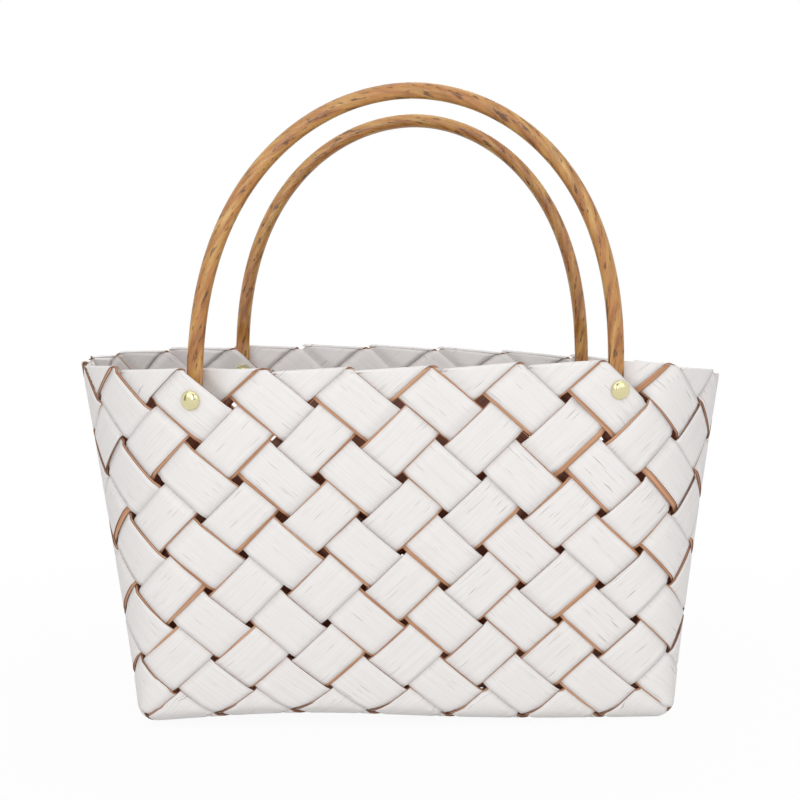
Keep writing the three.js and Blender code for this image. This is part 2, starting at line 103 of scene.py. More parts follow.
def base_fold(distance):
    """The round fold between base and wall: how far in, and how far up, at a distance past it."""
    angle = math.pi / 4 * (1 + np.clip(distance / BASE_EDGE_RADIUS, -1, 1))
    past_inner = np.maximum(-distance - BASE_EDGE_RADIUS, 0)
    past_outer = np.maximum(distance - BASE_EDGE_RADIUS, 0)
    inset = BASE_EDGE_RADIUS * (1 - np.sin(angle)) + past_inner
    raised = BASE_EDGE_RADIUS * (1 - np.cos(angle)) + past_outer
    return inset, raised


def loop_point(half_x, half_y, radius, share):
    """A point on a rounded rectangle, a share of the way round from the middle of the front."""
    flat_x = half_x - radius
    flat_y = half_y - radius
    bend = radius * math.pi / 2
    wrapped = share - np.round(share)
    side = np.where(wrapped < 0, -1.0, 1.0)
    run = np.abs(wrapped) * 4 * (flat_x + flat_y + bend)
    first = np.clip((run - flat_x) / radius, 0, math.pi / 2)
    second = np.clip((run - flat_x - bend - 2 * flat_y) / radius, 0, math.pi / 2)
    end_run = np.clip(run - flat_x - bend, 0, 2 * flat_y)
    back_run = np.maximum(run - flat_x - 2 * bend - 2 * flat_y, 0)
    x = np.minimum(run, flat_x) + radius * (np.sin(first) + np.cos(second) - 1) - back_run
    y = -half_y + radius * (1 - np.cos(first) + np.sin(second)) + end_run
    return side * x, y


def rim_swell(around):
    total = 0
    for middle, spread, height in RIM_SWELLS:
        away = around - middle
        away = away - SPACINGS_AROUND * np.round(away / SPACINGS_AROUND)
        total = total + height * np.exp(-((away / spread) ** 2))
    return total


def tapered_point(around, row):
    """Around counts strip spacings from the middle of the front, and row crossings up the wall."""
    height = row_height(np.maximum(row, 0))
    inset, raised = base_fold(height)
    share = height / RIM_HEIGHT
    flare = share**WIDTH_FLARE_POWER
    half_x = BASE_HALF_WIDTH + (RIM_HALF_WIDTH - BASE_HALF_WIDTH) * flare - inset
    half_y = BASE_HALF_DEPTH + (RIM_HALF_DEPTH - BASE_HALF_DEPTH) * share - inset
    radius = BASE_CORNER_RADIUS + (RIM_CORNER_RADIUS - BASE_CORNER_RADIUS) * share - inset
    radius = np.maximum(radius, LEAST_CORNER_RADIUS)
    place = around - WEAVE_CREEP * row
    x, y = loop_point(half_x, half_y, radius, place / SPACINGS_AROUND)
    dip = RIM_DIP_RIGHT * share * (np.maximum(x, 0) / RIM_HALF_WIDTH) ** RIM_DIP_POWER
    swell = rim_swell(place) * share**RIM_SWELL_POWER
    return np.stack([x, y, FLOOR_TO_MIDDLE + raised - dip + swell], axis=-1)


def base_edge_point(around):
    """The middle of the weave on the fold between base and wall."""
    place = around - SPACINGS_AROUND * np.floor((around + HALF_SPACINGS_X) / SPACINGS_AROUND)
    end_middle = HALF_SPACINGS_X + HALF_SPACINGS_Y
    across = np.where(place < end_middle, place, 2 * end_middle - place)
    along = np.where(place < 2 * end_middle, place - end_middle, 3 * end_middle - place)
    across = np.clip(across, -HALF_SPACINGS_X, HALF_SPACINGS_X)
    along = np.clip(along, -HALF_SPACINGS_Y, HALF_SPACINGS_Y)
    return base_point(across, along)


def wall_point(around, row):
    """The tapered wall, drawn at its foot to the folded edge of the base."""
    foot = around - WEAVE_CREEP * row
    settling = np.clip(1 - row / SETTLING_ROWS, 0, 1) ** 2
    gap = base_edge_point(foot) - tapered_point(foot, 0 * row)
    return tapered_point(around, row) + settling[..., None] * gap


def wall_frame(around, row):
    """A point of the wall, its outward normal, and the way up the wall."""
    step = 0.01
    sideways = wall_point(around + step, row) - wall_point(around - step, row)
    up = wall_point(around, row + step) - wall_point(around, row - step)
    normal = np.cross(sideways, up)
    normal = normal / np.linalg.norm(normal, axis=-1, keepdims=True)
    return wall_point(around, row), normal, up / np.linalg.norm(up, axis=-1, keepdims=True)


def base_point(across, along):
    """Across and along count strip spacings from the middle of the base."""
    inset_x, raised_x = base_fold((np.abs(across) - HALF_SPACINGS_X) * BASE_SPACING)
    inset_y, raised_y = base_fold((np.abs(along) - HALF_SPACINGS_Y) * BASE_SPACING)
    x = np.sign(across) * (BASE_HALF_WIDTH - inset_x)
    y = np.sign(along) * (BASE_HALF_DEPTH - inset_y)
    arch = BASE_ARCH * np.exp(-(((across - BASE_ARCH_MIDDLE) / BASE_ARCH_SPREAD) ** 2))
    arch = arch * (1 - np.clip((along + HALF_SPACINGS_Y) / HALF_SPACINGS_Y, 0, 1)) ** 2
    return np.stack([x, y, FLOOR_TO_MIDDLE + raised_x + raised_y + arch], axis=-1)


def to_wall(wall, across, along):
    """The around and row that base coordinates reach, unfolded past one edge on to its wall."""
    if wall == "front":
        return across, -2 * (along + HALF_SPACINGS_Y)
    if wall == "right":
        return along + HALF_SPACINGS_X + HALF_SPACINGS_Y, 2 * (across - HALF_SPACINGS_X)
    if wall == "back":
        return SPACINGS_AROUND / 2 - across, 2 * (along - HALF_SPACINGS_Y)
    return -HALF_SPACINGS_X - HALF_SPACINGS_Y - along, -2 * (across + HALF_SPACINGS_X)


def bag_point(wall, across, along):
    """The weave's middle at base coordinates, unfolded past one wall's edge before any other."""
    point = base_point(across, along)
    for other in ("front", "back", "left", "right", wall):
        around, row = to_wall(other, across, along)
        point = np.where((row > 0)[..., None], wall_point(around, row), point)
    return point


# Layers of the weave, measured outward from its middle surface.
WEAVE_OFFSET = 0.72 * MM
PLY_OFFSET = 0.27 * MM
PLY_THICKNESS = 0.5 * MM
FLAT_SHARE = 4.4

# The inside of the bag is painted only down to a little below the rim, with a ragged lower edge.
# Below it the bare bark is drawn dark, as painted shade for the dim inside of the bag.
PAINT_START_ROW = 8.9
PAINT_FULL_ROW = 9.3

# Half widths of the plies, and how far the outer one slips sideways over the inner one.
INNER_HALF_WIDTH = 10.0 * MM
OUTER_HALF_WIDTH = 9.6 * MM
OUTER_SLIP = 0.55 * MM
SLIP_SPREAD = 0.9 * MM
SLIP_AT_BASE = 0.4
SLIP_AT_RIM = 1.4
WIDTH_WANDER = 0.3 * MM
WANDER_LENGTH = 4.5
MOST_COVER = 0.455
FOLD_TILT = 0.12

# How finely the plies are divided along, across and over the fold, and the gap between the ends
# of a line's two outer plies, which meet under a crossing of the base.
STATIONS_PER_CROSSING = 12
COLUMNS = 9
FOLD_STEPS = 10
BUTT_GAP = 0.05

# Pockets: the veneers behind each handle foot bulge inward to let it pass down between them. The
# bulge of the strip beside a foot eases in, so that it stays clear of the strip in front.
FOOT_ROW = 9
FOOT_AROUND = 2.5
POCKET_DEPTH = 4.75 * MM
POCKET_DEPTH_PER_ROW = 4 * MM
POCKET_DEPTH_ROW = 8.2
POCKET_START_ROW = 8.5
POCKET_FULL_ROW = 9.05
POCKET_HALF_WIDTH = 0.396
POCKET_EASING = 0.3


def smooth_step(value):
    value = np.clip(value, 0, 1)
    return value * value * (3 - 2 * value)


def pocket_push(around, row, foot_around):
    rise = smooth_step((row - POCKET_START_ROW) / (POCKET_FULL_ROW - POCKET_START_ROW))
    depth = POCKET_DEPTH + POCKET_DEPTH_PER_ROW * (row - POCKET_DEPTH_ROW)
    return -depth * rise * np.exp(-(((around - foot_around) / POCKET_HALF_WIDTH) ** 2))


# Each foot's place round the wall and up it, a little off its crossing.
FEET = {
    "front_left": (-FOOT_AROUND + 0.04, 9.139),
    "front_right": (FOOT_AROUND + 0.14, 9.226),
    "back_right": (SPACINGS_AROUND / 2 - FOOT_AROUND - 0.17, 9.096),
    "back_left": (SPACINGS_AROUND / 2 + FOOT_AROUND - 0.12, 9.139),
}


# The lines of a family are counted from the one through the middle of the base.
LAST_INDEX = 5


class Line:
    """One line of the weave from rim to rim. Family a keeps across + along on the base, family b
    keeps across - along, and the sum or difference that changes counts the lines crossed."""

    def __init__(self, family, index):
        self.family = family
        self.index = index
        self.label = f"{family}_{index + LAST_INDEX + 1:02d}"
        high = min(index + 2 * HALF_SPACINGS_Y, 2 * HALF_SPACINGS_X - index)
        low = max(index - 2 * HALF_SPACINGS_Y, -2 * HALF_SPACINGS_X - index)
        half_round = SPACINGS_AROUND / 2
        if family == "a":
            self.edges = (high, low)
            self.travel = (1, -1)
            self.walls = ("front" if index <= 1 else "right", "back" if index >= -1 else "left")
            rising = (index <= 1, index >= -1)
            numbers = (index + HALF_SPACINGS_Y, half_round + HALF_SPACINGS_Y - index)
        else:
            self.edges = (low, high)
            self.travel = (-1, 1)
            self.walls = ("front" if index >= -1 else "left", "back" if index <= 1 else "right")
            rising = (index < -1, index > 1)
            numbers = (index - HALF_SPACINGS_Y, half_round - HALF_SPACINGS_Y - index)
        self.slants = tuple("rising" if is_rising else "falling" for is_rising in rising)
        self.numbers = tuple(round(number) % SPACINGS_AROUND for number in numbers)
        hidden = [n for n in range(round(low), round(high) + 1) if not self.is_outside(n)]
        self.middle = min(hidden, key=lambda n: abs(n - (low + high) / 2))

    def is_outside(self, crossed):
        return ((self.index + crossed) % 2 == 0) == (self.family == "a")

    def place(self, crossed, aside):
        own = self.index + aside
        total, difference = (own, crossed) if self.family == "a" else (crossed, own)
        return (total + difference) / 2, (total - difference) / 2

    def point(self, end, crossed, aside):
        return bag_point(self.walls[end], *self.place(crossed, aside))

    def wall_place(self, end, crossed, aside):
        return to_wall(self.walls[end], *self.place(crossed, aside))

    def grid(self, end, rows, aside):
        """Points, outward normals, strip pitch, around, row and lines crossed, at stations and
        columns. The last row is turned level, so that the strip's end lies along the rim."""
        crossed = self.edges[end] + self.travel[end] * (rows[:, None] + np.zeros_like(aside))
        tilt = FOLD_TILT if self.slants[end] == "rising" else -FOLD_TILT
        last_row = np.clip((rows - RIM_ROW + 1) / (FOLD_ROW - RIM_ROW + 1), 0, 1)
        level = (1 + tilt) * last_row[:, None]
        drift = self.wall_place(end, crossed, aside)[1] - rows[:, None]
        crossed = crossed - self.travel[end] * level * drift
        step = 0.01
        along = self.point(end, crossed + step, aside) - self.point(end, crossed - step, aside)
        sideways = self.point(end, crossed, aside + step) - self.point(end, crossed, aside - step)
        normal = np.cross(sideways, along) if self.family == "a" else np.cross(along, sideways)
        area = np.linalg.norm(normal, axis=-1)
        pitch = area / np.linalg.norm(along, axis=-1) / (2 * step)
        around, row = self.wall_place(end, crossed, aside)
        passed = (crossed - self.edges[end]) * self.travel[end]
        return self.point(end, crossed, aside), normal / area[..., None], pitch, around, row, passed

    def offsets(self, end, passed, ply):
        """How far a ply's middle stands out from the weave's middle, at a crossing or between."""
        below = np.floor(passed).astype(int)
        first = below.min()
        layers = [self.crossing_offset(end, row, ply) for row in range(first, below.max() + 2)]
        low, high = (np.array(layers)[below - first + up] for up in (0, 1))
        swing = np.clip(FLAT_SHARE * np.cos(math.pi * (passed - below)), -1, 1)
        return low + (high - low) * (1 - np.sin(math.pi / 2 * swing)) / 2

    def crossing_offset(self, end, row, ply):
        row = min(row, RIM_ROW)
        outside = self.is_outside(round(self.edges[end] + self.travel[end] * row))
        layer = WEAVE_OFFSET if outside else -WEAVE_OFFSET
        return layer + (PLY_OFFSET if ply == "outer" else -PLY_OFFSET)

    def pocket(self, end, around, row):
        """The inward bulge of this line behind the feet whose pockets it makes."""
        is_rising = self.slants[end] == "rising"
        push = np.zeros_like(around)
        for foot, _ in FEET.values():
            rising = round(foot - FOOT_ROW / 2)
            falling = round(foot + FOOT_ROW / 2)
            behind = (rising if is_rising else falling + 1) % SPACINGS_AROUND
            beside = (rising + 1) % SPACINGS_AROUND
            near = around + SPACINGS_AROUND * np.round((foot - around) / SPACINGS_AROUND)
            if self.numbers[end] == behind:
                push = push + pocket_push(near, row, foot)
            elif is_rising and self.numbers[end] == beside:
                eased = smooth_step((near - foot) / POCKET_EASING - 1)
                push = push + pocket_push(near, row, foot) * eased
        return push

    def reach(self, end, rows, ply):
        """The two edges of a ply, in metres toward higher wall numbers, at each station."""
        number = self.numbers[end] + (0 if self.slants[end] == "rising" else SPACINGS_AROUND)
        random = np.random.default_rng([number, ply == "outer"])
        phases = random.uniform(0, 2 * math.pi, 2)
        turn = 2 * math.pi * rows / WANDER_LENGTH
        if ply == "outer":
            slip = OUTER_SLIP + random.uniform(-SLIP_SPREAD, SLIP_SPREAD)
            slip = -slip if self.slants[end] == "rising" else slip
            height_share = np.clip(rows / RIM_ROW, 0, 1)
            slip = slip * (SLIP_AT_BASE + (SLIP_AT_RIM - SLIP_AT_BASE) * height_share)
            middle = slip + WIDTH_WANDER * np.sin(turn + phases[0])
            half = OUTER_HALF_WIDTH + WIDTH_WANDER * np.sin(turn / 2 + phases[1])
        else:
            middle = WIDTH_WANDER * np.sin(turn / 2 + phases[0])
            half = INNER_HALF_WIDTH + WIDTH_WANDER * np.sin(turn + phases[1])
        return middle - half, middle + half


LINES = [
    Line(family, index) for family in "ab" for index in range(-LAST_INDEX, LAST_INDEX + 1)
]
# The line, and which of its two ends, that carries each number on the walls.
ENDS = {(line.slants[end], line.numbers[end]): (line, end) for line in LINES for end in (0, 1)}


def fold_partner(line, end):
    """The line and end whose inner ply goes on from an outer ply's fold over the rim."""
    if line.slants[end] == "rising":
        return ENDS["falling", (line.numbers[end] + RIM_ROW) % SPACINGS_AROUND]
    return ENDS["rising", (line.numbers[end] - RIM_ROW) % SPACINGS_AROUND]


def columns_between(low, high):
    share = np.linspace(0, 1, COLUMNS)
    return low[:, None] + (high - low)[:, None] * share


def ply_stations(line, end, rows, ply):
    """Middle points, outward normals, sideways places in metres and paint for a run of one ply."""
    low, high = line.reach(end, rows, ply)
    toward_higher = 1 if end == 0 else -1
    across = columns_between(low, high)[:, :: toward_higher] * toward_higher
    pitch = line.grid(end, rows, np.zeros((len(rows), 1)))[2]
    aside = np.clip(across / pitch, -MOST_COVER, MOST_COVER)
    point, normal, _, around, row, passed = line.grid(end, rows, aside)
    offset = line.offsets(end, passed, ply) + line.pocket(end, around, row)
    paint = np.ones_like(row)
    if ply == "inner":
        paint = np.clip((row - PAINT_START_ROW) / (PAINT_FULL_ROW - PAINT_START_ROW), 0, 1)
    return point + offset[..., None] * normal, normal, across, paint


def fold_stations(line, end):
    """The outer ply's half turn over the rim, on which it travels on round the wall to its partner.
    A rising strip wraps inward over both falling plies, and the falling outer ply turns outward."""
    partner, partner_end = fold_partner(line, end)
    top = np.array([FOLD_ROW])
    offset = line.crossing_offset(end, RIM_ROW, "outer")
    pitch = line.grid(end, top, np.zeros((1, 1)))[2]
    own = np.array(line.reach(end, top, "outer"))[:, 0]
    other = np.array(partner.reach(partner_end, top, "inner"))[:, 0]
    toward_higher = 1 if end == 0 else -1
    stations = []
    for step in range(1, FOLD_STEPS + 1):
        turn = step / FOLD_STEPS
        low, high = own + (other - own) * smooth_step(turn)
        across = np.linspace(low, high, COLUMNS)[None, ::toward_higher] * toward_higher
        _, _, _, around, row, _ = line.grid(end, top, across / pitch)
        around = around + math.copysign((RIM_ROW - FOLD_ROW) * turn, offset)
        point, normal, up = wall_frame(around, row)
        angle = math.pi * turn
        outward = normal * math.cos(angle) + math.copysign(1, offset) * up * math.sin(angle)
        push = line.pocket(end, around, row)[..., None] * normal
        stations.append((point + push + offset * outward, outward, across, np.ones_like(row)))
    return [np.concatenate(parts) for parts in zip(*stations)]


# The sides of a ply, in the order of its materials.
PAINTED_SIDE = 0
BARE_SIDE = 1
CUT_EDGE = 2


def sheet_mesh(points, normals, across, paint, seed):
    """A thin sheet: vertices, faces, the side that each face is on, and each vertex's grain and
    paint. The grain reads the sheet's own width and length, so that it runs with the strip."""
    stations, columns = points.shape[:2]
    half = PLY_THICKNESS / 2
    vertices = np.concatenate([points + half * normals, points - half * normals]).reshape(-1, 3)
    steps = np.linalg.norm(np.diff(points[:, columns // 2], axis=0), axis=-1)
    along = np.concatenate([[0], np.cumsum(steps)])[:, None] + np.zeros_like(across)
    grain = np.stack([across, along, np.full_like(across, seed)], axis=-1)
    grain = np.concatenate([grain, grain]).reshape(-1, 3)
    number = np.arange(stations * columns).reshape(stations, columns)
    behind = stations * columns
    a, b = number[:-1, :-1], number[:-1, 1:]
    c, d = number[1:, 1:], number[1:, :-1]
    front = np.stack([a, b, c, d], axis=-1).reshape(-1, 4)
    back = np.stack([a, d, c, b], axis=-1).reshape(-1, 4) + behind
    border = np.concatenate([number[0], number[1:, -1], number[-1, -2::-1], number[-2:0:-1, 0]])
    following = np.roll(border, -1)
    rim = np.stack([border, border + behind, following + behind, following], axis=-1)
    first = vertices[front[0]]
    turned = np.dot(np.cross(first[1] - first[0], first[3] - first[0]), normals[0, 0]) < 0
    faces = np.concatenate([front, back, rim])
    if turned:
        faces = faces[:, ::-1]
    kinds = np.repeat([PAINTED_SIDE, BARE_SIDE, CUT_EDGE], [len(front), len(back), len(rim)])
    paint = np.repeat(np.concatenate([paint, paint]).reshape(-1, 1), 3, axis=1)
    return vertices, faces, kinds, grain, paint


def srgb(text):
    """A hex colour as linear RGBA."""
    channels = [int(text[i : i + 2], 16) / 255 for i in (1, 3, 5)]
    linear = [c / 12.92 if c <= 0.04045 else ((c + 0.055) / 1.055) ** 2.4 for c in channels]
    return (*linear, 1.0)


def new_material(name):
    material = bpy.data.materials.new(name)
    material.use_nodes = True
    return material, material.node_tree.nodes["Principled BSDF"]


def feed(holder, target, inputs):
    """Links outputs of other nodes to a node's inputs, or sets the inputs to values."""
    for key, value in inputs.items():
        if isinstance(value, bpy.types.NodeSocket):
            holder.node_tree.links.new(value, target.inputs[key])
        else:
            target.inputs[key].default_value = value


def node(holder, kind, inputs=None, stops=(), **settings):
    """Adds a shader node with its settings, inputs and links, and a ramp's stops."""
    made = holder.node_tree.nodes.new(kind)
    for key, value in settings.items():
        setattr(made, key, value)
    feed(holder, made, inputs or {})
    if stops:
        elements = made.color_ramp.elements
        while len(elements) < len(stops):
            elements.new(0.5)
        for element, (position, colour) in zip(elements, stops):
            element.position = position
            element.color = srgb(colour)
    return made


# The sockets of a node that mixes two colours.
MIX_SHARE = 0
MIX_FIRST = 6
MIX_SECOND = 7
MIX_RESULT = 2


def grain_noise(holder, across_scale, along_scale, detail=3.0):
    """Noise drawn out along the strip. The scales are in features per millimetre."""
    place = node(holder, "ShaderNodeAttribute", attribute_name="grain")
    stretched = node(
        holder,
        "ShaderNodeVectorMath",
        {0: place.outputs["Vector"], 1: (across_scale / MM, along_scale / MM, 1.0)},
        operation="MULTIPLY",
    )
    noise = node(
        holder,
        "ShaderNodeTexNoise",
        {"Vector": stretched.outputs["Vector"], "Scale": 1.0, "Detail": detail, "Roughness": 0.6},
    )
    return noise.outputs["Fac"]


def painted_veneer_material():
    """White emulsion rubbed thin over bark veneer: matt, with grain lines 0.4 mm wide, a few dark
    scratches, and bare bark where the paint runs out inside the bag, drawn dark reddish brown as
    painted shade for the dim inside of the bag."""
    material, shader = new_material("white_painted_veneer")
    fine = grain_noise(material, 1.3, 0.03)
    paint = node(
        material,
        "ShaderNodeValToRGB",
        {"Fac": fine},
        stops=[(0.3, "#e4e0de"), (0.6, "#eae7e5")],
    )
    scratches = node(
        material,
        "ShaderNodeValToRGB",
        {"Fac": grain_noise(material, 2.6, 0.08, detail=0.0)},
        stops=[(0.765, "#000000"), (0.83, "#d0d0d0")],
    )
    painted = node(
        material,
        "ShaderNodeMix",
        {
            MIX_SHARE: scratches.outputs["Color"],
            MIX_FIRST: paint.outputs["Color"],
            MIX_SECOND: srgb("#938883"),
        },
        data_type="RGBA",
    )
    cover = node(material, "ShaderNodeAttribute", attribute_name="paint")
    ragged = node(material, "ShaderNodeMath", {0: cover.outputs["Fac"], 1: fine}, operation="ADD")
    bare = node(
        material,
        "ShaderNodeValToRGB",
        {"Fac": ragged.outputs["Value"]},
        stops=[(0.85, "#ffffff"), (0.95, "#000000")],
    )
    # Bare bark inside the bag, drawn dark reddish brown: painted shade for the dim inside of the
    # bag, far darker than the raw bark outside.
    shaded_bark_colour = node(
        material,
        "ShaderNodeValToRGB",
        {"Fac": fine},
        stops=[(0.3, "#5a3022"), (0.55, "#71402c"), (0.75, "#8a5238")],
    )
    colour = node(
        material,
        "ShaderNodeMix",
        {
            MIX_SHARE: bare.outputs["Color"],
            MIX_FIRST: painted.outputs[MIX_RESULT],
            MIX_SECOND: shaded_bark_colour.outputs["Color"],
        },
        data_type="RGBA",
    )
    relief = node(material, "ShaderNodeBump", {"Height": fine, "Distance": 0.03 * MM})
    feed(
        material,
        shader,
        {
            "Base Color": colour.outputs[MIX_RESULT],
            "Roughness": 0.5,
            "IOR": 1.45,
            "Normal": relief.outputs["Normal"],
        },
    )
    return material


def raw_veneer_material():
    """Bare bark veneer: dull orange-brown, with darker fibres half a millimetre wide."""
    material, shader = new_material("raw_bark_veneer")
    fibres = grain_noise(material, 1.0, 0.02)
    colour = node(
        material,
        "ShaderNodeValToRGB",
        {"Fac": fibres},
        stops=[(0.3, "#b17b57"), (0.55, "#ce9c79"), (0.75, "#dfb797")],
    )
    relief = node(material, "ShaderNodeBump", {"Height": fibres, "Distance": 0.1 * MM})
    feed(
        material,
        shader,
        {
            "Base Color": colour.outputs["Color"],
            "Roughness": 0.65,
            "IOR": 1.5,
            "Normal": relief.outputs["Normal"],
        },
    )
    return material


def cut_edge_material():
    """The sawn edge of the veneer: dark brown end grain, quite dull."""
    material, shader = new_material("veneer_cut_edge")
    colour = node(
        material,
        "ShaderNodeValToRGB",
        {"Fac": grain_noise(material, 0.5, 0.15)},
        stops=[(0.35, "#7a5746"), (0.7, "#a07a64")],
    )
    feed(material, shader, {"Base Color": colour.outputs["Color"], "Roughness": 0.75})
    return material


def add_mesh(name, vertices, faces, materials, kinds=None, flat_kind=None, vectors=None):
    """A mesh object from vertices and faces, smooth except for faces of the flat kind."""
    mesh = bpy.data.meshes.new(name)
    mesh.from_pydata([tuple(v) for v in vertices], [], [tuple(int(i) for i in f) for f in faces])
    for material in materials:
        mesh.materials.append(material)
    kinds = np.zeros(len(faces), dtype=int) if kinds is None else kinds
    mesh.polygons.foreach_set("material_index", kinds.astype(np.int32))
    mesh.polygons.foreach_set("use_smooth", kinds != flat_kind)
    for key, values in (vectors or {}).items():
        attribute = mesh.attributes.new(key, "FLOAT_VECTOR", "POINT")
        attribute.data.foreach_set("vector", np.asarray(values, dtype=np.float32).ravel())
    mesh.update()
    obj = bpy.data.objects.new(name, mesh)
    bpy.context.scene.collection.objects.link(obj)
    return obj


# Every ply reads its own place in the grain, so that no two look alike.
MIDDLE_GRAIN = 66.0
GRAIN_PER_LINE = 7.0
GRAIN_OF_FAMILY = {"a": 1.7, "b": 0.0}
GRAIN_OF_OUTER_PLY = (0.0, 0.5)
GRAIN_OF_INNER_PLY = 0.25


def rows_to_fold(line, end, gap):
    """Stations from the middle of the line, where it is hidden under the base, up to the fold."""
    first_row = (line.middle - line.edges[end]) * line.travel[end] + gap
    count = round((FOLD_ROW - first_row) * STATIONS_PER_CROSSING)
    return np.linspace(first_row, FOLD_ROW, count)


def line_sheets(line):
    """One line's plies: an outer one up each wall and over the rim, an inner one throughout."""
    seed = MIDDLE_GRAIN + GRAIN_PER_LINE * line.index + GRAIN_OF_FAMILY[line.family]
    sheets = []
    for end in (0, 1):
        wall = ply_stations(line, end, rows_to_fold(line, end, BUTT_GAP), "outer")
        fold = fold_stations(line, end)
        points, normals, across, paint = (np.concatenate(parts) for parts in zip(wall, fold))
        sheets.append(sheet_mesh(points, normals, across, paint, seed + GRAIN_OF_OUTER_PLY[end]))
    runs = [ply_stations(line, end, rows_to_fold(line, end, 0), "inner") for end in (0, 1)]
    points, normals, across, paint = (
        np.concatenate([first[:0:-1], second]) for first, second in zip(*runs)
    )
    sheets.append(sheet_mesh(points, -normals, across, paint, seed + GRAIN_OF_INNER_PLY))
    return sheets


veneer_materials = [painted_veneer_material(), raw_veneer_material(), cut_edge_material()]

for line in LINES:
    vertices, faces, kinds, grain, paint = zip(*line_sheets(line))
    starts = np.cumsum([0] + [len(part) for part in vertices])
    strip = add_mesh(
        f"veneer_strip_{line.label}",
        np.concatenate(vertices),
        np.concatenate([part + start for part, start in zip(faces, starts)]),
        veneer_materials,
        kinds=np.concatenate(kinds),
        flat_kind=CUT_EDGE,
        vectors={"grain": np.concatenate(grain), "paint": np.concatenate(paint)},
    )
    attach(strip, "basket")
    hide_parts(f"bias_strip_{line.label}")


# The handles: two lengths of 7 mm cane bent hot into arches, flame marked and varnished. Each foot
# is shaved to a flat tongue, which slips down between the plies and takes the screw.

CANE_RADIUS = 3.5 * MM
HANDLE_TOP = 278.3 * MM
HANDLE_TOP_SHIFTS = {"front": 3.7 * MM, "back": 2.0 * MM}
SQUARENESS_UP = 2.48
SQUARENESS_ACROSS = 1.95
FOOT_INSET = 3.6 * MM
FOOT_THICKNESS = 2.6 * MM
FOOT_DROP = 4 * MM
FOOT_HOLE_RADIUS = 2.1 * MM
FOOT_SHAVED_ABOVE_RIM = 6 * MM
FOOT_SHAVED_TOP = FLOOR_TO_MIDDLE + RIM_HEIGHT + FOOT_SHAVED_ABOVE_RIM
FOOT_SHOULDER = 7 * MM
HANDLE_LEAN = math.radians(15)
TIP_HALF_WIDTH = 0.3 * MM
TIP_STEPS = 8
ARCH_STEPS = 80
CANE_SIDES = 28
HOLE_SIDES = 32
FLAT_CAP = 1

# The fibres wind slowly round the cane, and the two handles are cut from different lengths.
FIBRE_TURN = 115 * MM
GRAIN_STARTS = {"front": 0.0, "back": 1.35}


def foot_place(name):
    """A foot's place on the wall, the wall's outward normal there, and the tongue's middle."""
    place, normal, _ = (Vector(part) for part in wall_frame(*np.array(FEET[name])))
    return place, normal, place - FOOT_INSET * normal


def side_of_arch(foot_height):
    """Height, share of the rise and share of the span, from one tip of the cane to its top."""
    low = foot_height - FOOT_DROP
    tip = low + CANE_RADIUS * (1 - np.cos(np.linspace(0, math.pi / 2, TIP_STEPS)))
    angle = np.linspace(0, math.pi / 2, ARCH_STEPS + 1)
    share = np.sin(angle) ** (2 / SQUARENESS_UP)
    height = np.concatenate([tip, foot_height + (HANDLE_TOP - foot_height) * share])
    share = np.concatenate([0 * tip, share])
    reach = np.concatenate([1 + 0 * tip, np.cos(angle) ** (2 / SQUARENESS_ACROSS)])
    return height, share, reach, height - low


def cane_mesh(feet, top_shift, grain_start):
    """A round cane along a superellipse, with tongues shaved parallel to the wall at its ends."""
    (_, left_normal, left), (_, right_normal, right) = feet
    sides = side_of_arch(left[2]), side_of_arch(right[2])
    z, share, reach, above_tip = (
        np.concatenate([up, down[-2::-1]]) for up, down in zip(*sides)
    )
    toward = np.where(np.arange(len(z)) < len(sides[0][0]), -1, 1)
    x = (left[0] + right[0]) / 2 + top_shift * share + toward * reach * (right[0] - left[0]) / 2
    y = left[1] + (right[1] - left[1]) * (x - left[0]) / (right[0] - left[0])
    turn = np.arctan2(np.gradient(x), -np.gradient(z))
    short = np.clip(CANE_RADIUS - above_tip, 0, CANE_RADIUS)
    width = np.maximum(np.sqrt(CANE_RADIUS**2 - short**2), TIP_HALF_WIDTH)
    shoulder = smooth_step((z - FOOT_SHAVED_TOP) / FOOT_SHOULDER)
    thickness = FOOT_THICKNESS / 2 + (CANE_RADIUS - FOOT_THICKNESS / 2) * shoulder
    twists = [math.atan(left_normal.x / left_normal.y), -math.atan(right_normal.x / right_normal.y)]
    twist = (np.where(toward < 0, *twists) * (1 - shoulder))[:, None]
    angle = 2 * math.pi * np.arange(CANE_SIDES) / CANE_SIDES
    wide = width[:, None] * np.cos(angle)
    thick = np.clip(width[:, None] * np.sin(angle), -thickness[:, None], thickness[:, None])
    out = wide * np.cos(twist) - thick * np.sin(twist)
    depth = wide * np.sin(twist) + thick * np.cos(twist)
    vertices = np.stack(
        [
            x[:, None] + out * np.cos(turn)[:, None],
            y[:, None] + depth,
            z[:, None] + out * np.sin(turn)[:, None],
        ],
        axis=-1,
    )
    steps = np.hypot(np.diff(x), np.diff(z))
    along = grain_start + np.concatenate([[0], np.cumsum(steps)])[:, None] + 0 * angle
    fibre = angle + 2 * math.pi * along / FIBRE_TURN
    round_x = np.cos(fibre) * CANE_RADIUS
    round_y = np.sin(fibre) * CANE_RADIUS
    grain = np.stack([round_x, round_y, along], axis=-1).reshape(-1, 3)
    faces = []
    for ring in range(len(x) - 1):
        for side in range(CANE_SIDES):
            a = ring * CANE_SIDES + side
            b = ring * CANE_SIDES + (side + 1) % CANE_SIDES
            faces.append((a, a + CANE_SIDES, b + CANE_SIDES, b))
    last = (len(x) - 1) * CANE_SIDES
    caps = [tuple(range(CANE_SIDES)), tuple(range(last + CANE_SIDES - 1, last - 1, -1))]
    return vertices.reshape(-1, 3), faces, caps, grain


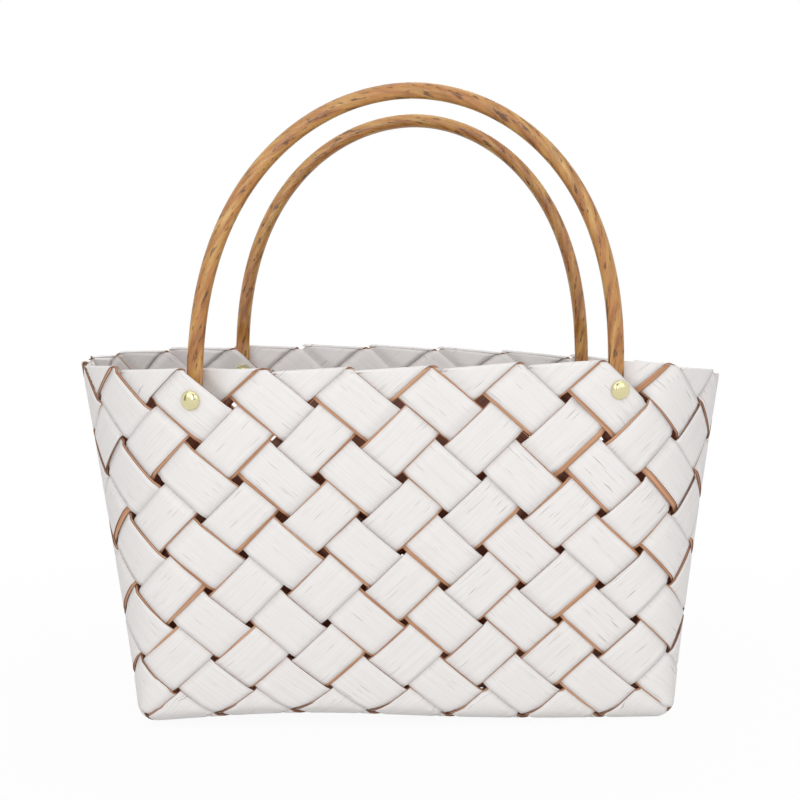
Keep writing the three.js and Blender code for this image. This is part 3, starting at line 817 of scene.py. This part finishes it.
def cane_material():
    """Varnished cane: golden skin under a satin coat, with burnt dashes about 1 mm wide and 5 mm
    long, smoky patches twice as large, and fine fibres."""
    material, shader = new_material("varnished_cane")
    place = node(material, "ShaderNodeAttribute", attribute_name="grain").outputs["Vector"]

    def streaks(round_scale, long_scale, detail, shift=0.0):
        """Noise drawn out along the cane, with scales in features per millimetre."""
        scale = (round_scale / MM, round_scale / MM, long_scale / MM)
        stretched = node(
            material,
            "ShaderNodeVectorMath",
            {0: place, 1: scale, 2: (shift, shift, shift)},
            operation="MULTIPLY_ADD",
        ).outputs["Vector"]
        settings = {"Vector": stretched, "Scale": 1.0, "Detail": detail, "Roughness": 0.55}
        return node(material, "ShaderNodeTexNoise", settings).outputs["Fac"]

    skin = node(
        material,
        "ShaderNodeValToRGB",
        {"Fac": streaks(0.42, 0.05, 4)},
        stops=[(0.3, "#8d5a2e"), (0.44, "#b5793f"), (0.56, "#bd8c48"), (0.72, "#d0a566")],
    )
    dashes = node(
        material,
        "ShaderNodeValToRGB",
        {"Fac": streaks(0.6, 0.15, 3, 7)},
        stops=[(0.565, "#000000"), (0.64, "#e4e4e4")],
    )
    smoke = node(
        material,
        "ShaderNodeValToRGB",
        {"Fac": streaks(0.25, 0.09, 3, 3)},
        stops=[(0.48, "#000000"), (0.66, "#b8b8b8")],
    )
    toasted = node(
        material,
        "ShaderNodeMix",
        {
            MIX_SHARE: smoke.outputs["Color"],
            MIX_FIRST: skin.outputs["Color"],
            MIX_SECOND: srgb("#85512b"),
        },
        data_type="RGBA",
    )
    colour = node(
        material,
        "ShaderNodeMix",
        {
            MIX_SHARE: dashes.outputs["Color"],
            MIX_FIRST: toasted.outputs[MIX_RESULT],
            MIX_SECOND: srgb("#4f2b14"),
        },
        data_type="RGBA",
    )
    relief = node(
        material, "ShaderNodeBump", {"Height": streaks(1.4, 0.03, 2), "Distance": 0.06 * MM}
    )
    feed(
        material,
        shader,
        {
            "Base Color": colour.outputs[MIX_RESULT],
            "Roughness": 0.4,
            "IOR": 1.5,
            "Coat Weight": 0.35,
            "Coat Roughness": 0.25,
            "Normal": relief.outputs["Normal"],
        },
    )
    return material


cane = cane_material()


def drill(obj, centre, direction, radius, length):
    """Cuts a round hole through a mesh object."""
    bpy.ops.mesh.primitive_cylinder_add(vertices=HOLE_SIDES, radius=radius, depth=length)
    bit = bpy.context.object
    turn = direction.to_track_quat("Z", "Y").to_matrix().to_4x4()
    bit.matrix_world = Matrix.Translation(centre) @ turn
    cut = obj.modifiers.new("hole", "BOOLEAN")
    cut.operation = "DIFFERENCE"
    cut.solver = "EXACT"
    cut.object = bit
    bpy.context.view_layer.update()
    drawn = obj.evaluated_get(bpy.context.evaluated_depsgraph_get())
    drilled = bpy.data.meshes.new_from_object(drawn)
    obj.modifiers.clear()
    obj.data = drilled
    bpy.data.objects.remove(bit)


def restore_grain(obj, vertices, grain):
    """Gives each vertex the grain place of the nearest vertex there was before drilling."""
    tree = KDTree(len(vertices))
    for number, vertex in enumerate(vertices):
        tree.insert(vertex, number)
    tree.balance()
    nearest = [tree.find(vertex.co)[1] for vertex in obj.data.vertices]
    values = np.asarray(grain[nearest], dtype=np.float32)
    obj.data.attributes["grain"].data.foreach_set("vector", values.ravel())


for side, top_shift in HANDLE_TOP_SHIFTS.items():
    feet = [foot_place(f"{side}_{hand}") for hand in ("left", "right")]
    vertices, faces, caps, grain = cane_mesh(feet, top_shift, GRAIN_STARTS[side])
    handle = add_mesh(
        f"cane_handle_{side}",
        vertices,
        faces + caps,
        [cane, cane],
        kinds=np.repeat([0, FLAT_CAP], [len(faces), len(caps)]),
        flat_kind=FLAT_CAP,
        vectors={"grain": grain},
    )
    # Each hole lies along its screw at half the lean, so that the screw clears it at both limits.
    lean = Matrix.Rotation(math.copysign(HANDLE_LEAN / 2, -feet[0][0].y), 3, "X")
    for _, normal, tongue in feet:
        drill(handle, tongue, lean @ normal, FOOT_HOLE_RADIUS, 4 * CANE_RADIUS)
    restore_grain(handle, vertices, grain)
    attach(handle, f"{side}_handle")
    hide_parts(f"handle_{side}")


# The fasteners: a domed brass screw through each foot and the plies round it, with a washer and a
# hexagonal nut inside the bag. Pale gold plating, polished. Heights are outward from the wall.

DOME_RADIUS = 4.25 * MM
DOME_HEIGHT = 2.6 * MM
DOME_BRIM = 0.5 * MM
DOME_CHAMFER = 0.15 * MM
DOME_SEAT = 1.5 * MM
DOME_STEPS = 14
DOME_CAP_RADIUS = 0.05 * MM
SHANK_RADIUS = 1.25 * MM
SCREW_END = -13.0 * MM
SCREW_CAP_RADIUS = 0.2 * MM
WASHER_RADIUS = 3.5 * MM
WASHER_BORE = 1.55 * MM
WASHER_SEAT = -9.7 * MM
WASHER_THICKNESS = 0.7 * MM
NUT_RADIUS = 2.8 * MM
NUT_CLEARANCE = 0.1 * MM
NUT_BORE = SHANK_RADIUS + NUT_CLEARANCE
NUT_THICKNESS = 1.8 * MM
NUT_GAP = 0.3 * MM
NUT_SEAT = WASHER_SEAT - WASHER_THICKNESS - NUT_GAP
NUT_SIDES = 6
LATHE_SIDES = 48


def lathe(outline, sides=LATHE_SIDES, closed=False):
    """Turns an outline of radius and height about the height axis."""
    angles = 2 * math.pi * np.arange(sides) / sides
    radius = np.array([r for r, _ in outline])[:, None]
    height = np.array([h for _, h in outline])[:, None] + 0 * angles
    vertices = np.stack([radius * np.cos(angles), radius * np.sin(angles), height], axis=-1)
    rings = len(outline)
    faces = []
    for ring in range(rings if closed else rings - 1):
        for side in range(sides):
            a = ring * sides + side
            b = ring * sides + (side + 1) % sides
            c = (ring + 1) % rings * sides + (side + 1) % sides
            d = (ring + 1) % rings * sides + side
            faces.append((a, b, c, d))
    if not closed:
        faces.append(tuple(reversed(range(sides))))
        faces.append(tuple(range((rings - 1) * sides, rings * sides)))
    return vertices.reshape(-1, 3), faces


def dome_screw_outline():
    outline = [
        (SCREW_CAP_RADIUS, SCREW_END),
        (SHANK_RADIUS, SCREW_END),
        (SHANK_RADIUS, DOME_SEAT),
        (DOME_RADIUS - DOME_CHAMFER, DOME_SEAT),
    ]
    for step in range(DOME_STEPS + 1):
        angle = math.pi / 2 * step / DOME_STEPS
        rise = (DOME_HEIGHT - DOME_BRIM) * math.sin(angle)
        radius = max(DOME_RADIUS * math.cos(angle), DOME_CAP_RADIUS)
        outline.append((radius, DOME_SEAT + DOME_BRIM + rise))
    return outline


def ring_outline(bore, radius, low, high):
    return [(bore, low), (radius, low), (radius, high), (bore, high)]


def brass_material():
    """Polished brass plated pale gold: nearly a mirror, with hairline wear that is too fine to
    draw and shows as a soft edge on its reflections."""
    material, shader = new_material("pale_gold_plate")
    feed(material, shader, {"Base Color": srgb("#dcd3a6"), "Metallic": 1.0, "Roughness": 0.2})
    return material


brass = brass_material()
washer = ring_outline(WASHER_BORE, WASHER_RADIUS, WASHER_SEAT - WASHER_THICKNESS, WASHER_SEAT)
nut = ring_outline(NUT_BORE, NUT_RADIUS, NUT_SEAT - NUT_THICKNESS, NUT_SEAT)
fasteners = {
    "dome_screw": lathe(dome_screw_outline()),
    "washer": lathe(washer, closed=True),
    "nut": lathe(nut, sides=NUT_SIDES, closed=True),
}

for name in FEET:
    place, normal, _ = foot_place(name)
    turn = normal.to_track_quat("Z", "Y").to_matrix().to_4x4()
    for kind, (vertices, faces) in fasteners.items():
        flat_kind = None if kind == "dome_screw" else 0
        piece = add_mesh(f"brass_{kind}_{name}", vertices, faces, [brass], flat_kind=flat_kind)
        piece.matrix_world = Matrix.Translation(place) @ turn
        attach(piece, "basket")
        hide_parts(f"{kind}_{name}")


# The studio: a white table and a plain white backdrop, with a faint shadow under the bag, soft
# lamps in front, above and behind, two dark flags for the gloss, and a camera three quarters of a
# metre in front of the bag, a little above its rim.

CAMERA_PLACE = (-15.59 * MM, -732.7 * MM, 211.42 * MM)
CAMERA_TURN = -0.0205
CAMERA_PITCH = 0.0983
CAMERA_ROLL = 0.0106
CAMERA_LENS_MM = 68.75
CAMERA_SENSOR_MM = 36
CAMERA_NEAREST = 0.05
CAMERA_FARTHEST = 50


def camera_axes():
    right = Vector((math.cos(CAMERA_TURN), math.sin(CAMERA_TURN), 0))
    level = Vector((-math.sin(CAMERA_TURN), math.cos(CAMERA_TURN), 0))
    forward = level * math.cos(CAMERA_PITCH) - Vector((0, 0, math.sin(CAMERA_PITCH)))
    up = right.cross(forward)
    rolled_right = right * math.cos(CAMERA_ROLL) - up * math.sin(CAMERA_ROLL)
    rolled_up = right * math.sin(CAMERA_ROLL) + up * math.cos(CAMERA_ROLL)
    return rolled_right, rolled_up, -forward


camera_data = bpy.data.cameras.new("camera")
camera_data.lens = CAMERA_LENS_MM
camera_data.sensor_width = CAMERA_SENSOR_MM
camera_data.clip_start = CAMERA_NEAREST
camera_data.clip_end = CAMERA_FARTHEST
camera = bpy.data.objects.new("camera", camera_data)
camera.matrix_world = Matrix.Translation(CAMERA_PLACE) @ Matrix(camera_axes()).transposed().to_4x4()
bpy.context.scene.collection.objects.link(camera)
bpy.context.scene.camera = camera


# Each soft lamp's place, the height on the bag's axis at which it aims, its width and its power.
LAMPS = {
    "key": ((-0.8, -1.2, 1.0), 0.12, 0.9, 2.8),
    "fill": ((0.9, -1.2, 0.9), 0.12, 0.9, 2.2),
    "front": ((-0.05, -1.3, 0.5), 0.14, 0.6, 5.2),
    "top": ((0.0, 0.0, 1.5), 0.12, 1.4, 4.0),
    "back": ((0.2, 1.4, 0.8), 0.12, 0.9, 6.5),
}

for name, (place, aim_height, width, power) in LAMPS.items():
    lamp_data = bpy.data.lights.new(name, "AREA")
    lamp_data.size = width
    lamp_data.energy = power
    lamp = bpy.data.objects.new(name, lamp_data)
    lamp.location = place
    aim = Vector((0, 0, aim_height)) - Vector(place)
    lamp.rotation_euler = aim.to_track_quat("-Z", "Y").to_euler()
    bpy.context.scene.collection.objects.link(lamp)


def seen_directly(holder):
    """One for rays of the camera, of gloss and through glass, which see plain white, else zero."""
    path = node(holder, "ShaderNodeLightPath")
    camera_or_gloss = node(
        holder,
        "ShaderNodeMath",
        {0: path.outputs["Is Camera Ray"], 1: path.outputs["Is Glossy Ray"]},
        operation="MAXIMUM",
    )
    any_of_three = node(
        holder,
        "ShaderNodeMath",
        {0: camera_or_gloss.outputs["Value"], 1: path.outputs["Is Transmission Ray"]},
        operation="MAXIMUM",
    )
    return any_of_three.outputs["Value"]


ROOM_STRENGTH = 0.53

world = bpy.data.worlds.new("white_studio")
world.use_nodes = True
bpy.context.scene.world = world
room = world.node_tree.nodes["Background"]
feed(world, room, {"Color": srgb("#ffffff"), "Strength": ROOM_STRENGTH})
backdrop = node(world, "ShaderNodeBackground", {"Color": srgb("#ffffff"), "Strength": 1.0})
shown = node(
    world,
    "ShaderNodeMixShader",
    {0: seen_directly(world), 1: room.outputs[0], 2: backdrop.outputs[0]},
)
feed(world, world.node_tree.nodes["World Output"], {"Surface": shown.outputs[0]})

TABLE_REACH = 3.0
SHADOW_REACH = 0.5
SHADOW_SHARE = 0.08


def table_material():
    """White laminate: matt, and plain white to the eye, with a faint shadow near the bag."""
    material, shader = new_material("white_table")
    feed(material, shader, {"Base Color": srgb("#e4e4e4"), "Roughness": 0.8})
    glow = node(material, "ShaderNodeEmission", {"Strength": 1.0})
    place = node(material, "ShaderNodeTexCoord").outputs["Object"]
    scaled = node(
        material,
        "ShaderNodeVectorMath",
        {0: place, "Scale": 1 / SHADOW_REACH},
        operation="SCALE",
    )
    near = node(
        material,
        "ShaderNodeTexGradient",
        {0: scaled.outputs[0]},
        gradient_type="SPHERICAL",
    )
    plain = node(
        material,
        "ShaderNodeMath",
        {0: near.outputs["Fac"], 1: -SHADOW_SHARE, 2: 1.0},
        operation="MULTIPLY_ADD",
    )
    seen = node(
        material,
        "ShaderNodeMath",
        {0: seen_directly(material), 1: plain.outputs["Value"]},
        operation="MULTIPLY",
    )
    shown = node(
        material,
        "ShaderNodeMixShader",
        {0: seen.outputs["Value"], 1: shader.outputs[0], 2: glow.outputs[0]},
    )
    output = material.node_tree.nodes["Material Output"]
    feed(material, output, {"Surface": shown.outputs[0]})
    return material


table = add_mesh(
    "white_table_top",
    [
        (-TABLE_REACH, -TABLE_REACH, 0),
        (TABLE_REACH, -TABLE_REACH, 0),
        (TABLE_REACH, TABLE_REACH, 0),
        (-TABLE_REACH, TABLE_REACH, 0),
    ],
    [(0, 1, 2, 3)],
    [table_material()],
)


def dark_flag(name, place, width, height):
    """A flag of black cloth that faces the bag and shows only in polished metal and varnish."""
    material, shader = new_material(name)
    feed(material, shader, {"Base Color": srgb("#1c1a18"), "Roughness": 0.9})
    x, y, z = place
    left, right = x - width / 2, x + width / 2
    low, high = z - height / 2, z + height / 2
    corners = [(left, y, low), (right, y, low), (right, y, high), (left, y, high)]
    flag = add_mesh(name, corners, [(0, 1, 2, 3)], [material])
    flag.visible_camera = False
    flag.visible_diffuse = False
    flag.visible_shadow = False


dark_flag("black_flag_middle", (0.0, -0.95, 0.62), 0.26, 1.0)
dark_flag("black_flag_left", (-1.1, -0.7, 0.4), 0.45, 1.2)

bpy.context.scene.view_settings.view_transform = "Standard"
